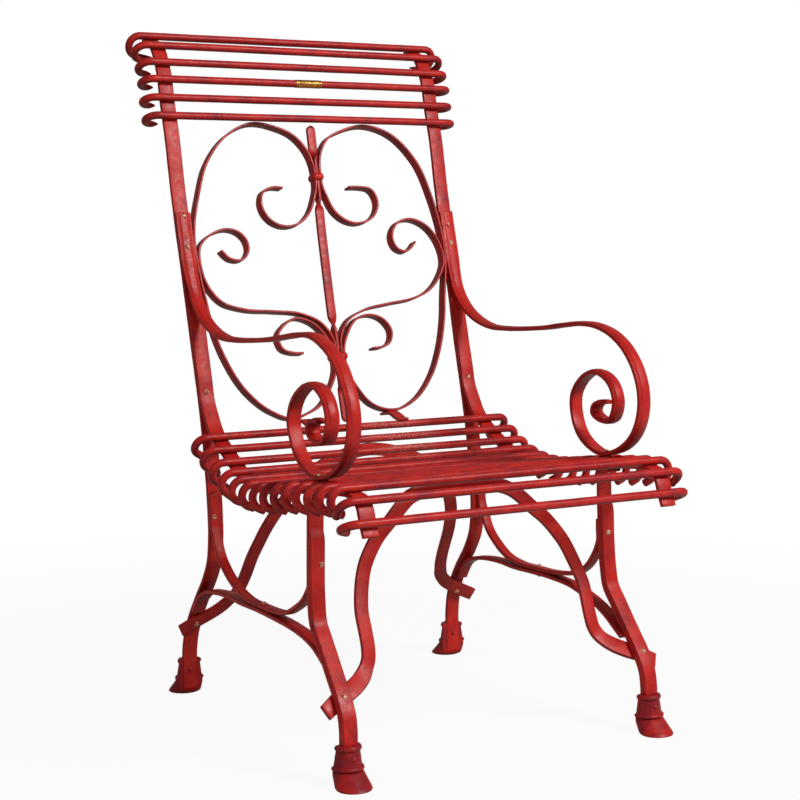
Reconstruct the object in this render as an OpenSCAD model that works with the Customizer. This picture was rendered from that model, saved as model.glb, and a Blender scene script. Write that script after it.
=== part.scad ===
// Wrought iron garden chair: two flat bar side frames joined by hooked round rods.
// Millimetres. The chair faces -Y and +Z is up. Left is -X and right is +X, seen from the front.

/* [Overall size] */
// Distance between the two uprights at the top of the back
frame_w = 480; // [440:10:520]
// Distance between the front and rear leg bars at the floor
foot_span = 535; // [510:5:560]
// Height of the top end of the uprights
frame_h = 1030; // [980:10:1080]

/* [Flat bars] */
// Width of the side frame bars
bar_w = 24; // [22:1:27]
// Thickness of the side frame bars
bar_t = 6; // [5:0.5:7]
// Width of the U-shaped leg braces
brace_w = 15; // [12:1:20]
// Width of the low arches between the legs and of the two cross braces
arch_w = 20; // [16:1:22]
// Thickness of all braces
brace_t = 6; // [5:0.5:6.5]

/* [Rods and hooks] */
// Diameter of the seat and back rods
rod_d = 12; // [10:0.5:13]
// Centre-line radius of the hooked rod ends
hook_r = 16.5; // [15:0.5:18]
// Angle that the hooked ends turn through
hook_turn = 145; // [135:5:150]
// Straight rod beyond each side bar's middle before the hook starts
hook_reach = 20.5; // [19:0.5:24]
// Straight tail after the hook
hook_tail = 32; // [24:1:34]
// Spacing of the six back rods along the upright
back_pitch = 29.4; // [28:0.2:31]

/* [Scroll panel] */
// Depth of the scroll strips
strip_w = 18; // [14:1:20]
// Thickness of the scroll strips
strip_t = 3.8; // [3:0.2:4.2]
// Width of the flat bar up the middle of the back
centre_w = 15; // [12:1:16]
// Thickness of the flat bar up the middle of the back
centre_t = 5.5; // [4:0.5:6]
// Height of the two collars
collar_h = 12; // [10:1:14]

/* [Feet] */
// Height of a foot
foot_h = 62; // [56:1:66]
// Width of the hoof at the floor
hoof_w = 58; // [52:1:62]
// Height of the hoof below its ring
hoof_h = 24; // [20:1:26]

/* [Fits] */
// Clearance between pieces that seat on each other
seat_gap = 0.3; // [0.2:0.05:0.5]
// Diameter of the rivets
rivet_d = 6; // [5:0.5:6]
// Diameter of the rivet heads
head_d = 11; // [10:0.5:12]
// Radial clearance of a rivet in its hole
hole_gap = 0.1; // [0.05:0.05:0.2]

/* [Hidden] */
$fn = 48;

// Scale of the hand-set outline points against the named sizes
kx = frame_w / 480;
ky = foot_span / 535;
kz = frame_h / 1030;
// The outline points count y from the middle of the feet; the part's middle lies further back
y_mid = 33.95;
lean = 0.3;      // each upright leans out at the foot, degrees
leg_splay = 1.2; // each front leg splays out at the foot, degrees
sole_t = 6;      // iron under the end of a leg bar
red = [0.76, 0.13, 0.14];
iron = [0.70, 0.60, 0.52];

function Y(y) = (y - y_mid) * ky;
function K(a) = [for (q = a) [Y(q[0]), q[1] * kz]];

// Smooth curve through hand-set points: cubic pieces with shared tangents
function gap_len(k, i) = norm(k[i + 1] - k[i]);
function tang(k, i) = i == 0 ? (k[1] - k[0]) / gap_len(k, 0)
    : i == len(k) - 1 ? (k[i] - k[i - 1]) / gap_len(k, i - 1)
    : let (a = gap_len(k, i - 1), b = gap_len(k, i))
      ((k[i] - k[i - 1]) * b / a + (k[i + 1] - k[i]) * a / b) / (a + b);
function cubic(k, i, t) = let (h = gap_len(k, i))
    (2 * t * t * t - 3 * t * t + 1) * k[i] + (t * t * t - 2 * t * t + t) * h * tang(k, i)
    + (3 * t * t - 2 * t * t * t) * k[i + 1] + (t * t * t - t * t) * h * tang(k, i + 1);
function curve(k, step) = concat(
    [for (i = [0 : len(k) - 2]) let (n = max(1, round(gap_len(k, i) / step)))
        for (j = [0 : n - 1]) cubic(k, i, j / n)],
    [k[len(k) - 1]]);

// Left-hand normal of a point list, and a strip of thickness t along it
function unit(v) = v / norm(v);
function left(v) = [-v[1], v[0]];
function side_dir(p, i) = left(unit(p[min(i + 1, len(p) - 1)] - p[max(i - 1, 0)]));
function ribbon(p, t) = concat(
    [for (i = [0 : len(p) - 1]) p[i] + side_dir(p, i) * t / 2],
    [for (i = [len(p) - 1 : -1 : 0]) p[i] - side_dir(p, i) * t / 2]);

// A track: a point list with look-up tables of y and z against length, and length against z
function run(p) = [for (i = 0, s = 0; i < len(p);
    s = s + (i < len(p) - 1 ? norm(p[i + 1] - p[i]) : 0), i = i + 1) s];
function track(p) = let (s = run(p)) [p, s[len(s) - 1],
    [for (i = [0 : len(p) - 1]) [s[i], p[i][0]]],
    [for (i = [0 : len(p) - 1]) [s[i], p[i][1]]],
    [for (i = [0 : len(p) - 1]) [p[i][1], s[i]]]];
function at(t, s) = [lookup(s, t[2]), lookup(s, t[3])];
function dir_at(t, s) = unit(at(t, min(s + 1, t[1])) - at(t, max(s - 1, 0)));
function nrm_at(t, s) = left(dir_at(t, s));
function off(t, s, d) = at(t, s) + d * nrm_at(t, s);
function at_z(t, z) = lookup(z, t[4]);
function down(a) = [cos(a), -sin(a)];

// Rounded corner at b on the way from a to c, as points
function corner(a, b, c, r, n) = let (u = unit(b - a), v = unit(c - b),
    turn = acos(u * v), s = u[0] * v[1] - u[1] * v[0] > 0 ? 1 : -1,
    p = b - u * r * tan(turn / 2))
    [for (i = [0 : n]) let (w = turn * i / n) p + r * sin(w) * u + r * (1 - cos(w)) * s * left(u)];

// Upright and rear leg in one bar, from the floor up; its back is straight from ua to ub
ua = [Y(199), 485 * kz];
ub = [Y(320), 906 * kz];
function back_at(t) = ua + t * (ub - ua);
rear_y = Y(257);
upright_line = curve(concat(
    [[rear_y, sole_t], [rear_y, foot_h], [rear_y, foot_h + 6]],
    K([[252, 95], [239, 125], [215, 161], [187, 197], [172, 225], [163, 262],
       [163, 300], [168, 340], [178, 400]]),
    [back_at(0), back_at(0.3), back_at(0.6), back_at(0.85), back_at(1)],
    K([[327.5, 936], [334, 963], [343, 990], [360, 1014], [385, 1026.5], [391.5, 1029.5]])), 9);
U = track(upright_line);

// Seat rail, from its free front end to its riveted top end on the upright
lap = bar_t + seat_gap;
rail_line = curve(concat(
    K([[-330, 341], [-322.5, 356], [-311, 381], [-300, 389], [-286, 391], [-252, 388.5],
       [-222, 385.5], [-192, 382.5], [-157, 378.5], [-124, 373.5], [-90, 368.5], [-56, 364],
       [-20, 361.7], [17, 364], [50, 370], [84, 382], [114, 397], [144, 413], [164, 428.5],
       [177.5, 447]]),
    [off(U, at_z(U, 470 * kz), lap), off(U, at_z(U, 488 * kz), lap),
     off(U, at_z(U, 506 * kz), lap)]), 8);
R = track(rail_line);

// Rod centres on the rail: the stations are lengths along it from its free end
rod_off = bar_t / 2 + seat_gap + rod_d / 2;
s_low = 17 * ky;
s_up = 45 * ky;
s_14 = 72.5 * ky;
s_1 = lookup(Y(144.5), [for (i = [0 : len(R[0]) - 1]) [R[0][i][0], R[2][i][0]]]);
seat_pitch = (s_1 - s_14) / 13;
function seat_s(i) = s_14 + (14 - i) * seat_pitch;
function seat_c(i) = off(R, seat_s(i), rod_off);

// Rod centres on the upright, lowest first station s_6
s_6 = norm(ub - ua) + at_z(U, 485 * kz);
function back_s(i) = s_6 + (6 - i) * back_pitch * kz;
function back_c(i) = off(U, back_s(i), rod_off);

// Front leg, from the floor up, with its top flange bent forward under the rail
s_11 = seat_s(11);
flange_at = off(R, s_11, -lap);
flange_dir = dir_at(R, s_11);
leg_y = flange_at[0] + 13;
front_y = Y(-278);
leg_low = curve(concat(
    [[front_y, sole_t], [front_y, foot_h], [front_y, foot_h + 6]],
    K([[-273, 91], [-259.5, 113], [-242, 134], [-219, 156.5], [-201, 177]]),
    [[leg_y - 10, 200 * kz], [leg_y - 3, 231 * kz], [leg_y, 265 * kz], [leg_y, 300 * kz],
     [leg_y, 340 * kz]]), 9);
leg_corner = flange_at + flange_dir * (leg_y - flange_at[0]) / flange_dir[0];
leg_line = concat(leg_low,
    corner([leg_y, 340 * kz], leg_corner, flange_at, 12, 8),
    [flange_at, flange_at - flange_dir * 17]);
F = track(leg_low);

// Arm: lies on the upright, sweeps forward and scrolls down to rest on seat rod 11
arm_foot = off(R, s_11, bar_t + 2 * seat_gap + rod_d);
arm_shift = arm_foot - [Y(-193), 401 * kz];
function arm_pts(a) = [for (q = K(a)) q + arm_shift];
arm_line = curve(concat(
    [off(U, at_z(U, 768 * kz), lap), off(U, at_z(U, 740 * kz), lap),
     off(U, at_z(U, 710 * kz), lap), off(U, at_z(U, 680 * kz), lap),
     off(U, at_z(U, 655 * kz), lap)],
    K([[231, 630], [216, 611], [193, 596], [160, 583], [119, 573], [75, 570], [27, 573],
       [-30, 580]]),
    arm_pts([[-85, 589], [-133, 593], [-177, 589], [-215, 575], [-245, 556], [-266, 532],
       [-282, 508], [-288, 482], [-283, 455], [-268, 432], [-240, 413], [-215, 404.5],
       [-193, 401], [-160, 403.5], [-130, 416], [-106, 438], [-95, 467], [-100, 492],
       [-117, 511], [-140, 522], [-167, 525], [-193, 518], [-214, 503], [-226, 478],
       [-214, 454], [-182, 445], [-155, 456], [-159, 474], [-178, 481], [-197, 481]])), 8);

// U-shaped brace and low arch between the legs
brace_off = bar_t / 2 + seat_gap + brace_t / 2;
arch_line = curve(concat(
    [off(U, at_z(U, 139 * kz), brace_off), off(U, at_z(U, 149 * kz), brace_off)],
    K([[201, 166], [181, 176], [148, 185], [100, 190], [50, 192], [0, 192], [-55, 190],
       [-105, 185], [-145, 177], [-178, 166], [-203, 153], [-217, 144]]),
    [off(F, at_z(F, 137 * kz), -brace_off)]), 9);
G = track(arch_line);
cross_s = lookup(Y(-10), [for (i = [len(G[0]) - 1 : -1 : 0]) [G[0][i][0], G[2][i][0]]]);
brace_line = curve(concat(
    [off(U, at_z(U, 330 * kz), brace_off), off(U, at_z(U, 310 * kz), brace_off),
     off(U, at_z(U, 290 * kz), brace_off)],
    K([[144, 266], [125, 250], [100, 234], [71, 219], [38, 206]]),
    [off(G, cross_s, -brace_t - seat_gap)],
    K([[-45, 198], [-87, 201], [-118, 209], [-140, 222], [-158, 241], [-167, 256]]),
    [off(F, at_z(F, 268 * kz), -brace_off), off(F, at_z(F, 284 * kz), -brace_off),
     off(F, at_z(F, 300 * kz), -brace_off)]), 9);

// Cross braces: side profiles that follow the leg and then rise to a seat rod
front_top = [seat_c(10)[0], seat_c(10)[1] - rod_d / 2 - seat_gap];
rear_top = [seat_c(2)[0], seat_c(2)[1] - rod_d / 2 - seat_gap];
front_side = curve(concat(
    [for (z = [88, 103, 118, 131, 142]) off(F, at_z(F, z * kz), -brace_off)],
    K([[-226, 150], [-221, 166], [-212, 190], [-203, 212], [-194, 233], [-186, 253],
       [-180, 272], [-174, 293], [-168, 318], [-163, 342]]),
    [front_top, front_top + [0, 8]]), 9);
rear_side = curve(concat(
    [for (z = [88, 103, 118, 131, 142]) off(U, at_z(U, z * kz), brace_off)],
    K([[220, 148], [208, 162], [196, 181], [184, 201], [172, 221], [159, 241], [147, 261],
       [136, 281], [126, 302], [117, 330], [111, 362]]),
    [rear_top, rear_top + [0, 8]]), 9);
front_half = [[276, 105], [246, 118.5], [227, 127], [211, 136], [200, 146], [193, 158],
    [190.5, 172], [189, 192], [187, 212], [183, 232], [177, 252], [169, 271], [157, 290],
    [141, 309], [120, 327], [101, 345], [86, 355], [60, 364], [30, 370.5]];
rear_half = [[276, 105], [246, 118.5], [229, 127], [213, 136], [201, 146], [192, 158],
    [186, 172], [182, 191], [180, 211], [178, 231], [174, 251], [169, 271], [161, 291],
    [150, 311], [134, 332], [113, 351], [86, 368], [55, 380], [25, 387]];
function half_pts(a, x, top) = [for (q = a) [q[0] * x / 246, q[1] * top]];
function arch_pts(a, x, top, apex) = let (h = half_pts(a, x, top))
    curve(concat(h, [[0, apex]], [for (i = [len(h) - 1 : -1 : 0]) [-h[i][0], h[i][1]]]), 9);

// Positions across the chair
function upright_x(z) = frame_w / 2 + (frame_h - z) * tan(lean);
rail_x = upright_x(430 * kz);
function leg_x(z) = rail_x + (flange_at[1] - z) * tan(leg_splay);
arm_x = upright_x(620 * kz);
brace_x = (upright_x(240 * kz) + leg_x(240 * kz)) / 2;
hook_x = frame_w / 2 + hook_reach;
shank_r = rivet_d / 2;
hole_r = shank_r + hole_gap;

module at_side(s) {
    if (s < 0) mirror([1, 0, 0]) children();
    if (s > 0) children();
}
module bar(p, w, t) rotate([90, 0, 90]) linear_extrude(w, center = true) polygon(ribbon(p, t));
module aim(x, p, n) translate([x, p[0], p[1]]) rotate([atan2(-n[0], n[1]), 0, 0]) children();
module drill(x, p, n, a, b) aim(x, p, n) translate([0, 0, -b]) cylinder(h = a + b, r = hole_r);
module tilt_upright() translate([frame_w / 2, 0, frame_h]) rotate([0, -lean, 0])
    translate([0, 0, -frame_h]) children();
module tilt_leg() translate([rail_x, 0, flange_at[1]]) rotate([0, -leg_splay, 0])
    translate([0, 0, -flange_at[1]]) children();

// Rivet: shank along n with a domed head at each end, a above p and b below it
head_h = head_d * 0.28;
module dome() intersection() {
    r = (head_d * head_d / 4 + head_h * head_h) / (2 * head_h);
    translate([0, 0, head_h - r]) sphere(r);
    cylinder(h = head_h, r = head_d);
}
module rivet(x, p, n, a, b) aim(x, p, n) {
    translate([0, 0, -b - 1]) cylinder(h = a + b + 2, r = shank_r);
    translate([0, 0, a + 0.1]) dome();
    translate([0, 0, -b - 0.1]) mirror([0, 0, 1]) dome();
}

// Places of the rivets: [point, direction, reach forward, reach back]
arm_riv = [for (z = [745, 705]) let (s = at_z(U, z * kz))
    [at(U, s), nrm_at(U, s), lap + bar_t / 2, bar_t / 2]];
rail_riv = let (s = at_z(U, 487 * kz)) [at(U, s), nrm_at(U, s), lap + bar_t / 2, bar_t / 2];
long_riv = [at(R, s_11), nrm_at(R, s_11), bar_t * 1.5 + 2 * seat_gap + rod_d + 0.3,
    lap + bar_t / 2 + 0.2];
lap_b = bar_t / 2 + seat_gap + brace_t;
ub_rear = let (s = at_z(U, 296 * kz)) [at(U, s), nrm_at(U, s), lap_b, bar_t / 2];
ub_front = let (s = at_z(F, 283 * kz)) [at(F, s), nrm_at(F, s), bar_t / 2, lap_b];
ub_arch = [at(G, cross_s), nrm_at(G, cross_s), brace_t / 2, brace_t * 1.5 + seat_gap];
cb_front = let (s = at_z(F, 119 * kz)) [at(F, s), nrm_at(F, s), bar_t / 2, lap_b];
cb_rear = let (s = at_z(U, 119 * kz)) [at(U, s), nrm_at(U, s), lap_b, bar_t / 2];
foot_z = 39;
sleeve_out = 20.3 * hoof_w / 58;
module drill_at(x, r) drill(x, r[0], r[1], r[2] + 2, r[3] + 2);
module rivet_at(x, r) rivet(x, r[0], r[1], r[2], r[3]);

module upright() color(red) difference() {
    tilt_upright() bar(upright_line, bar_w, bar_t);
    for (r = arm_riv) drill_at(arm_x, r);
    drill_at(rail_x, rail_riv);
    drill_at(brace_x, ub_rear);
    drill_at(upright_x(119 * kz), cb_rear);
    drill(upright_x(foot_z), [rear_y, foot_z], [-1, 0], bar_t, bar_t);
}
module seat_rail() color(red) difference() {
    translate([rail_x, 0, 0]) bar(rail_line, bar_w, bar_t);
    drill_at(rail_x, rail_riv);
    drill_at(rail_x, long_riv);
}
module arm() color(red) difference() {
    translate([arm_x, 0, 0]) bar(arm_line, bar_w, bar_t);
    for (r = arm_riv) drill_at(arm_x, r);
    drill_at(rail_x, long_riv);
}
module front_leg() color(red) difference() {
    tilt_leg() bar(leg_line, bar_w, bar_t);
    drill_at(rail_x, long_riv);
    drill_at(brace_x, ub_front);
    drill_at(leg_x(119 * kz), cb_front);
    drill(leg_x(foot_z), [front_y, foot_z], [-1, 0], bar_t, bar_t);
}
module u_brace() color(red) difference() {
    translate([brace_x, 0, 0]) bar(brace_line, brace_w, brace_t);
    drill_at(brace_x, ub_rear);
    drill_at(brace_x, ub_front);
    drill_at(brace_x, ub_arch);
}
module leg_arch() color(red) difference() {
    translate([brace_x, 0, 0]) bar(arch_line, arch_w, brace_t);
    drill_at(brace_x, ub_arch);
}

// A cross brace is an arch seen from the front, bent to its side profile
module cross_brace(side_line, pts, x, riv) color(red) difference() {
    intersection() {
        bar(side_line, frame_w * 1.4, brace_t);
        rotate([90, 0, 0]) linear_extrude(900, center = true) polygon(ribbon(pts, arch_w));
    }
    for (s = [-1, 1]) at_side(s) drill_at(x, riv);
}

// Cast hoof foot with a half sleeve; t is 1 for a toe pointing forward, -1 for one pointing back
module foot_body() {
    k = hoof_w / 58;
    h = foot_h / 62;
    difference() {
        union() {
            intersection() {
                translate([0, -4.6 * k, 0]) rotate([-22.7, 0, 0]) translate([0, 0, -24 * k])
                    cylinder(h = 2 * hoof_h + 24 * k, r1 = 34.9 * k, r2 = 34.9 * k
                        - (2 * hoof_h + 24 * k) * 0.246);
                translate([-50, -60, 0]) cube([100, 72, hoof_h + 0.5]);
            }
            translate([0, 0, hoof_h]) cylinder(h = 7 * h, r = 22 * k);
            translate([0, 0, hoof_h + 3.5 * h]) rotate_extrude() translate([21.6 * k, 0])
                circle(r = 3.5 * h);
            translate([0, 0, hoof_h + 7 * h - 0.2])
                cylinder(h = foot_h - hoof_h - 17 * h + 0.4, r1 = 22 * k, r2 = 19 * k);
            translate([0, 0, foot_h - 10 * h]) cylinder(h = 10 * h, r = 17 * k);
            translate([0, 0, foot_h - 5 * h]) rotate_extrude() translate([17 * k, 0])
                circle(r = 5 * h);
        }
        translate([-60, bar_t / 2 + seat_gap, sole_t - seat_gap]) cube([120, 60, 100]);
    }
}
module foot(x, y, a) translate([x, y, 0]) difference() {
    foot_body();
    rotate([0, -a, 0]) translate([-bar_w / 2 - seat_gap, -bar_t / 2 - seat_gap, sole_t - seat_gap])
        cube([bar_w + 2 * seat_gap, 60, 100]);
    translate([-foot_z * tan(a), 0, foot_z]) rotate([90, 0, 0]) {
        cylinder(h = 60, r = hole_r);
        translate([0, 0, sleeve_out]) cylinder(h = 9, r = head_d / 2 + 0.4);
    }
}
module foot_front() color(red) foot(leg_x(0), front_y, leg_splay);
module foot_rear() color(red) mirror([0, 1, 0]) foot(upright_x(0), -rear_y, lean);

// Hooked rod across the chair: c is its centre, n the side that its hooks turn to
module rod(c, n, turn, tail) aim(0, c, n) {
    for (s = [-1, 1]) at_side(s) translate([hook_x, 0, hook_r]) rotate([90, 0, 0]) {
        translate([0, -hook_r, 0]) rotate([0, -90, 0]) cylinder(h = hook_x + 5, r = rod_d / 2);
        rotate([0, 0, -90]) rotate_extrude(angle = turn) translate([hook_r, 0])
            circle(r = rod_d / 2);
        rotate([0, 0, turn - 90]) translate([hook_r, -0.3, 0]) rotate([-90, 0, 0])
            cylinder(h = tail + 0.3, r = rod_d / 2 - 0.02);
    }
}
back_tail = [14, 30, 36, 38, 38, 38];
module seat_rod(i) color(red) difference() {
    rod(seat_c(i), -nrm_at(R, seat_s(i)), hook_turn, i == 1 ? hook_tail - 12 : hook_tail);
    if (i == 11) for (s = [-1, 1]) at_side(s) drill_at(rail_x, long_riv);
}
module back_rod(i) color(red)
    rod(back_c(i), -nrm_at(U, back_s(i)), hook_turn, back_tail[i - 1] * hook_tail / 32);
module front_rod(s, turn, tail) color(red)
    rod(off(R, s, rod_off), -nrm_at(R, s), turn, tail * hook_tail / 32);

// Scroll panel, drawn in the leaning plane of the back: x across, y up along the uprights
back_lean = atan2(ub[0] - ua[0], ub[1] - ua[1]);
ks = norm(ub - ua) / 438;
panel_top = norm(ub - ua) - rod_d / 2 - seat_gap;
module panel(w) translate([0, ua[0], ua[1]]) rotate([90 - back_lean, 0, 0])
    linear_extrude(w, center = true) children();
function on_panel(s) = ua[1] + s * cos(back_lean);
side_edge = -bar_w / 2 - seat_gap - strip_t / 2;
function edge_x(s) = upright_x(on_panel(s)) + side_edge;
nest = strip_t + seat_gap;
in_x = centre_t / 2 + seat_gap + strip_t / 2;
out_x = in_x + nest;
c_up = 340 * ks;
c_low = 43 * ks;
function S(a) = [for (q = a) [q[0] * kx, q[1] * ks]];
outer_line = curve(concat(
    S([[60, 324], [80, 322.5], [96, 313], [104, 296], [101, 277], [87, 261], [66, 256],
       [44, 262], [24, 281], [11, 306]]),
    [[in_x + 0.2, c_up - 14 * ks], [in_x, c_up], [in_x + 0.2, c_up + 14 * ks]],
    S([[10, 380], [29, 407]]),
    [[60 * kx, panel_top - strip_t / 2 - 9 * ks], [101 * kx, panel_top - strip_t / 2],
     [148 * kx, panel_top - strip_t / 2 - 16 * ks]],
    S([[190, 364], [213, 308], [224, 268]]),
    [[edge_x(240 * ks), 240 * ks], [edge_x(200 * ks), 200 * ks]],
    S([[221, 140], [211, 92], [194, 47], [165, 0], [127, -34], [95, -48], [72, -44.5],
       [46, -33], [27, -12]]),
    [[out_x + 0.6, c_low - 18 * ks], [out_x, c_low - 5 * ks], [out_x, c_low + 7 * ks]],
    S([[19, 75], [42, 101], [70, 110.5], [94, 101], [106, 80], [97, 60], [80, 53], [63, 52]])), 7);
s_line = curve(concat(
    S([[178, 223], [166, 211], [148, 209], [133, 219], [129, 238], [140, 257], [165, 264],
       [193, 255]]),
    [[edge_x(226 * ks) - nest - 4 * kx, 228 * ks], [edge_x(195 * ks) - nest, 194 * ks]],
    S([[209, 165], [187, 143], [156, 131], [104, 124], [56, 115.5], [25, 98]]),
    [[in_x + 1.2, 68 * ks], [in_x, c_low + 7 * ks], [in_x, c_low - 6 * ks]]), 7);
module outer_scroll() color(red) panel(strip_w) polygon(ribbon(outer_line, strip_t));
module s_scroll() color(red) panel(strip_w) polygon(ribbon(s_line, strip_t));

// Centre bar: flat to the front, forged edge-on where the collars grip it
wide = centre_w / 2;
thin = centre_t / 2;
bar_low = -55 * ks;
bar_high = 420 * ks;
module bar_face(a, b) polygon(concat(
    [for (q = [[bar_low, a], [-20 * ks, a], [-2 * ks, b], [86 * ks, b], [112 * ks, a],
        [284 * ks, a], [304 * ks, b], [368 * ks, b], [388 * ks, a], [bar_high, a]]) [q[1], q[0]]],
    [for (q = [[bar_high, a], [388 * ks, a], [368 * ks, b], [304 * ks, b], [284 * ks, a],
        [112 * ks, a], [86 * ks, b], [-2 * ks, b], [-20 * ks, a], [bar_low, a]]) [-q[1], q[0]]]));
module centre_bar() color(red) {
    intersection() {
        panel(centre_w + 4) bar_face(wide, thin);
        translate([0, ua[0], ua[1]]) rotate([-back_lean, 0, 0]) rotate([90, 0, 90])
            linear_extrude(centre_w + 4, center = true) bar_face(thin, wide);
    }
    panel(centre_t) {
        translate([0, bar_low]) circle(r = wide);
        translate([0, bar_high]) circle(r = wide);
    }
}

// Collar: a half-round band wrapped round the stacked strips, rounded at its corners
collar_out = collar_h * 0.27;
module collar(half, s) color(red) translate([0, ua[0], ua[1]]) rotate([90 - back_lean, 0, 0])
    translate([0, s, 0]) rotate([-90, 0, 0]) {
    hx = half + seat_gap;
    hy = strip_w / 2 + seat_gap;
    r = (collar_h * collar_h / 4 + collar_out * collar_out) / (2 * collar_out);
    cx = hx + collar_out - r;
    cy = hy + collar_out - r;
    difference() {
        intersection() {
            union() {
                for (sx = [-1, 1]) translate([sx * cx, 0, 0]) rotate([90, 0, 0])
                    cylinder(h = 2 * cy, r = r, center = true);
                for (sy = [-1, 1]) translate([0, sy * cy, 0]) rotate([0, 90, 0])
                    cylinder(h = 2 * abs(cx), r = r, center = true);
                for (sx = [-1, 1], sy = [-1, 1]) translate([sx * cx, sy * cy, 0]) sphere(r);
            }
            cube([4 * hy, 4 * hy, collar_h], center = true);
        }
        cube([2 * hx, 2 * hy, 40], center = true);
    }
}

// Strap from under an outer scroll forward on to seat rod 1
rod_1 = seat_c(1);
back_dir = unit(ub - ua);
scroll_low = ua + back_dir * (min([for (p = outer_line) p[1]]) - strip_t / 2 - seat_gap - 2);
strap_line = curve([scroll_low - left(back_dir) * 9.5, scroll_low, scroll_low + left(back_dir) * 9,
    rod_1 + [17, 12.5], rod_1 + [4, rod_d / 2 + seat_gap + 2.1],
    rod_1 + [-6, rod_d / 2 + seat_gap + 2.1]], 5);
module scroll_bracket() color(red) translate([84 * kx, 0, 0]) bar(strap_line, 20, 4);

// Blank brass band on back rod 4
module label_band() color([0.80, 0.65, 0.30]) aim(6, back_c(4), nrm_at(U, back_s(4)))
    rotate([0, 90, 0]) difference() {
        cylinder(h = 46, r = rod_d / 2 + 0.6, center = true);
        cylinder(h = 50, r = rod_d / 2 + 0.1, center = true);
    }

module arm_rivets() color(iron) for (s = [-1, 1]) at_side(s)
    for (r = arm_riv) rivet_at(arm_x, r);
module seat_rivets() color(iron) for (s = [-1, 1]) at_side(s) {
    rivet_at(rail_x, rail_riv);
    rivet_at(rail_x, long_riv);
}
module brace_rivets() color(iron) for (s = [-1, 1]) at_side(s) {
    rivet_at(brace_x, ub_rear);
    rivet_at(brace_x, ub_front);
    rivet_at(brace_x, ub_arch);
}
module cross_brace_rivets() color(iron) for (s = [-1, 1]) at_side(s) {
    rivet_at(leg_x(119 * kz), cb_front);
    rivet_at(upright_x(119 * kz), cb_rear);
}
module foot_rivets() color(iron) for (s = [-1, 1]) at_side(s) {
    rivet(leg_x(foot_z), [front_y, foot_z], [-1, 0], sleeve_out, bar_t / 2);
    rivet(upright_x(foot_z), [rear_y, foot_z], [1, 0], sleeve_out, bar_t / 2);
}

// One module for each separate piece or group of rivets
module upright_left() at_side(-1) upright();
module upright_right() at_side(1) upright();
module seat_rail_left() at_side(-1) seat_rail();
module seat_rail_right() at_side(1) seat_rail();
module arm_left() at_side(-1) arm();
module arm_right() at_side(1) arm();
module front_leg_left() at_side(-1) front_leg();
module front_leg_right() at_side(1) front_leg();
module u_brace_left() at_side(-1) u_brace();
module u_brace_right() at_side(1) u_brace();
module leg_arch_left() at_side(-1) leg_arch();
module leg_arch_right() at_side(1) leg_arch();
module cross_brace_front()
    cross_brace(front_side, arch_pts(front_half, leg_x(119 * kz), kz, front_top[1] - arch_w / 2),
        leg_x(119 * kz), cb_front);
module cross_brace_rear()
    cross_brace(rear_side, arch_pts(rear_half, upright_x(119 * kz), kz, rear_top[1] - arch_w / 2),
        upright_x(119 * kz), cb_rear);
module foot_front_left() at_side(-1) foot_front();
module foot_front_right() at_side(1) foot_front();
module foot_rear_left() at_side(-1) foot_rear();
module foot_rear_right() at_side(1) foot_rear();
module back_rod_1() back_rod(1);
module back_rod_2() back_rod(2);
module back_rod_3() back_rod(3);
module back_rod_4() back_rod(4);
module back_rod_5() back_rod(5);
module back_rod_6() back_rod(6);
module seat_rod_1() seat_rod(1);
module seat_rod_2() seat_rod(2);
module seat_rod_3() seat_rod(3);
module seat_rod_4() seat_rod(4);
module seat_rod_5() seat_rod(5);
module seat_rod_6() seat_rod(6);
module seat_rod_7() seat_rod(7);
module seat_rod_8() seat_rod(8);
module seat_rod_9() seat_rod(9);
module seat_rod_10() seat_rod(10);
module seat_rod_11() seat_rod(11);
module seat_rod_12() seat_rod(12);
module seat_rod_13() seat_rod(13);
module seat_rod_14() seat_rod(14);
module front_rod_upper() front_rod(s_up, 100, 12);
module front_rod_lower() front_rod(s_low, hook_turn, 14);
module outer_scroll_left() at_side(-1) outer_scroll();
module outer_scroll_right() at_side(1) outer_scroll();
module s_scroll_left() at_side(-1) s_scroll();
module s_scroll_right() at_side(1) s_scroll();
module collar_upper() collar(in_x + strip_t / 2, c_up);
module collar_lower() collar(out_x + strip_t / 2, c_low);
module scroll_bracket_left() at_side(-1) scroll_bracket();
module scroll_bracket_right() at_side(1) scroll_bracket();

upright_left();
upright_right();
seat_rail_left();
seat_rail_right();
arm_left();
arm_right();
front_leg_left();
front_leg_right();
u_brace_left();
u_brace_right();
leg_arch_left();
leg_arch_right();
cross_brace_front();
cross_brace_rear();
foot_front_left();
foot_front_right();
foot_rear_left();
foot_rear_right();
back_rod_1();
back_rod_2();
back_rod_3();
back_rod_4();
back_rod_5();
back_rod_6();
seat_rod_1();
seat_rod_2();
seat_rod_3();
seat_rod_4();
seat_rod_5();
seat_rod_6();
seat_rod_7();
seat_rod_8();
seat_rod_9();
seat_rod_10();
seat_rod_11();
seat_rod_12();
seat_rod_13();
seat_rod_14();
front_rod_upper();
front_rod_lower();
centre_bar();
outer_scroll_left();
outer_scroll_right();
s_scroll_left();
s_scroll_right();
collar_upper();
collar_lower();
scroll_bracket_left();
scroll_bracket_right();
label_band();
arm_rivets();
seat_rivets();
brace_rivets();
cross_brace_rivets();
foot_rivets();
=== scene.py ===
"""Red painted wrought iron garden chair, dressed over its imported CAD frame."""
import random
from bisect import bisect_right
from math import asin, cos, pi, radians, sin, sqrt, tan

import bmesh
import bpy
from mathutils import Matrix, Vector, noise


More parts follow.
